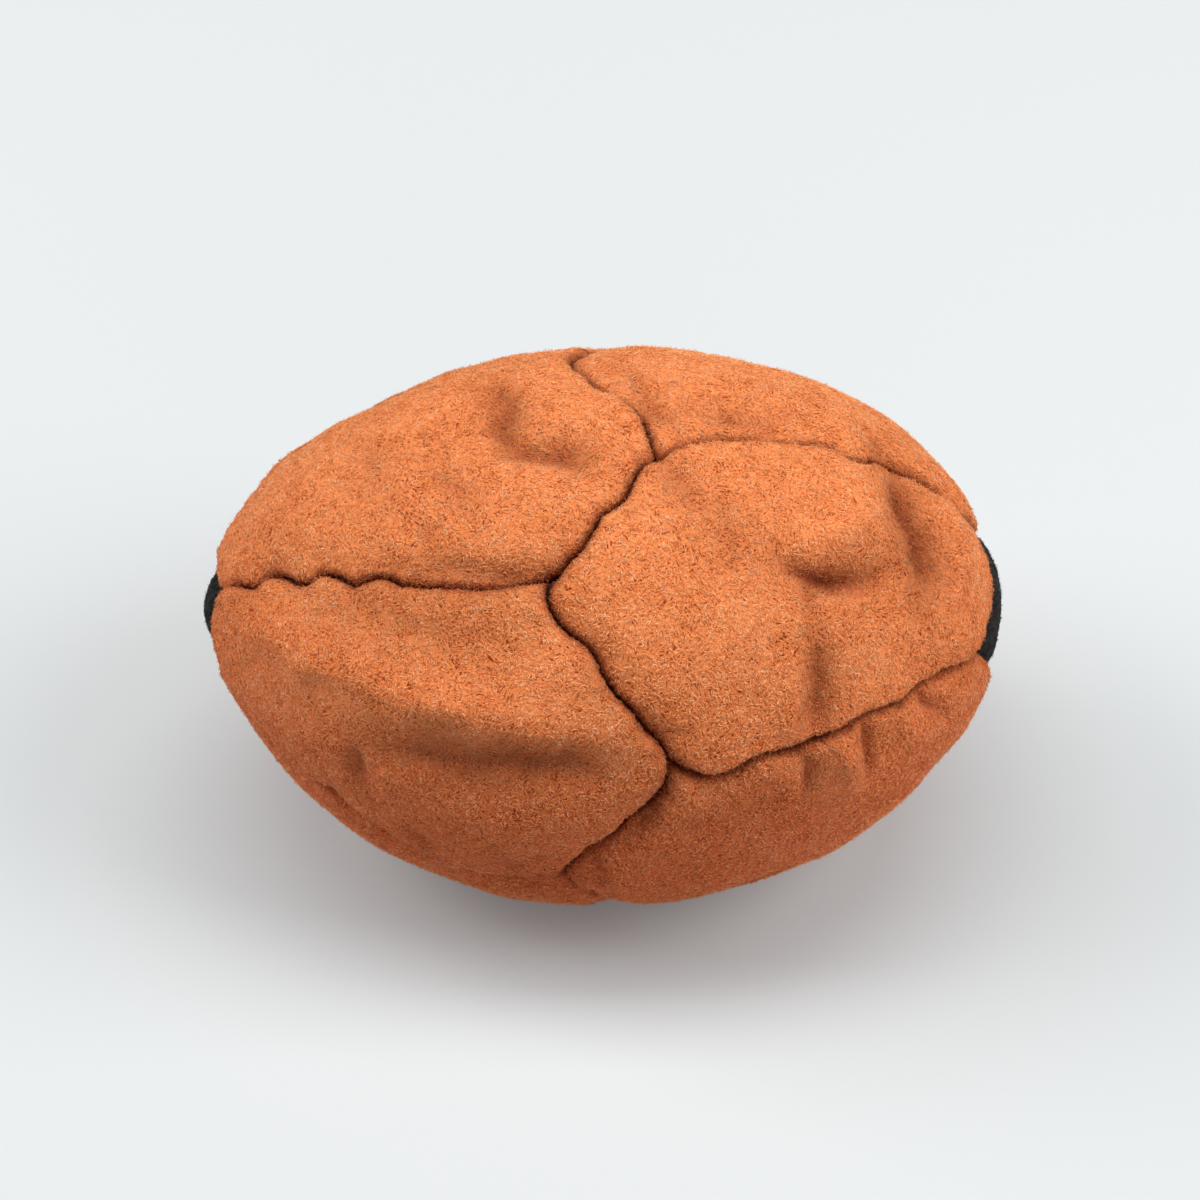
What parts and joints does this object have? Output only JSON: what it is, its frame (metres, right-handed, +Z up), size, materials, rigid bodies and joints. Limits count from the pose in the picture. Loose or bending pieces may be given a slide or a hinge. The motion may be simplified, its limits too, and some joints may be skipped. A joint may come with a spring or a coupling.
{
  "type": "weighted exercise ball",
  "caption": "Hand-size oval soft ball of sewn suede panels over a cotton bag of sand, with contrasting end patches, for grip and hand therapy.",
  "frame": {"origin": "centre of the bounding box in X and Y, on the flat that the ball stands on", "axes": "+X along the long axis towards the fuller tip, +Y to the back, +Z up from the surface it rests on"},
  "size_m": [0.1099, 0.077, 0.0721],
  "materials": {
    "orange_suede": "brushed nap, matt, mottled",
    "black_suede": "brushed nap, matt",
    "sewing_thread": "waxed polyester thread, satin",
    "cotton_cloth": "unbleached plain weave, matt",
    "dry_sand": "fine loose grains, matt"
  },
  "bodies": {
    "root": {"left_panel_1": "orange_suede", "left_panel_2": "orange_suede", "left_panel_3": "orange_suede", "left_panel_4": "orange_suede", "left_panel_5": "orange_suede", "right_panel_1": "orange_suede", "right_panel_2": "orange_suede", "right_panel_3": "orange_suede", "right_panel_4": "orange_suede", "right_panel_5": "orange_suede", "left_end_patch": "black_suede", "right_end_patch": "black_suede", "middle_seam_thread": "sewing_thread", "left_end_thread": "sewing_thread", "right_end_thread": "sewing_thread", "left_seam_thread_1": "sewing_thread", "left_seam_thread_2": "sewing_thread", "left_seam_thread_3": "sewing_thread", "left_seam_thread_4": "sewing_thread", "left_seam_thread_5": "sewing_thread", "right_seam_thread_1": "sewing_thread", "right_seam_thread_2": "sewing_thread", "right_seam_thread_3": "sewing_thread", "right_seam_thread_4": "sewing_thread", "right_seam_thread_5": "sewing_thread", "liner_left_half": "cotton_cloth", "liner_right_half": "cotton_cloth", "liner_seam_thread": "sewing_thread", "sand_filling": "dry_sand"}
  },
  "joints": []
}
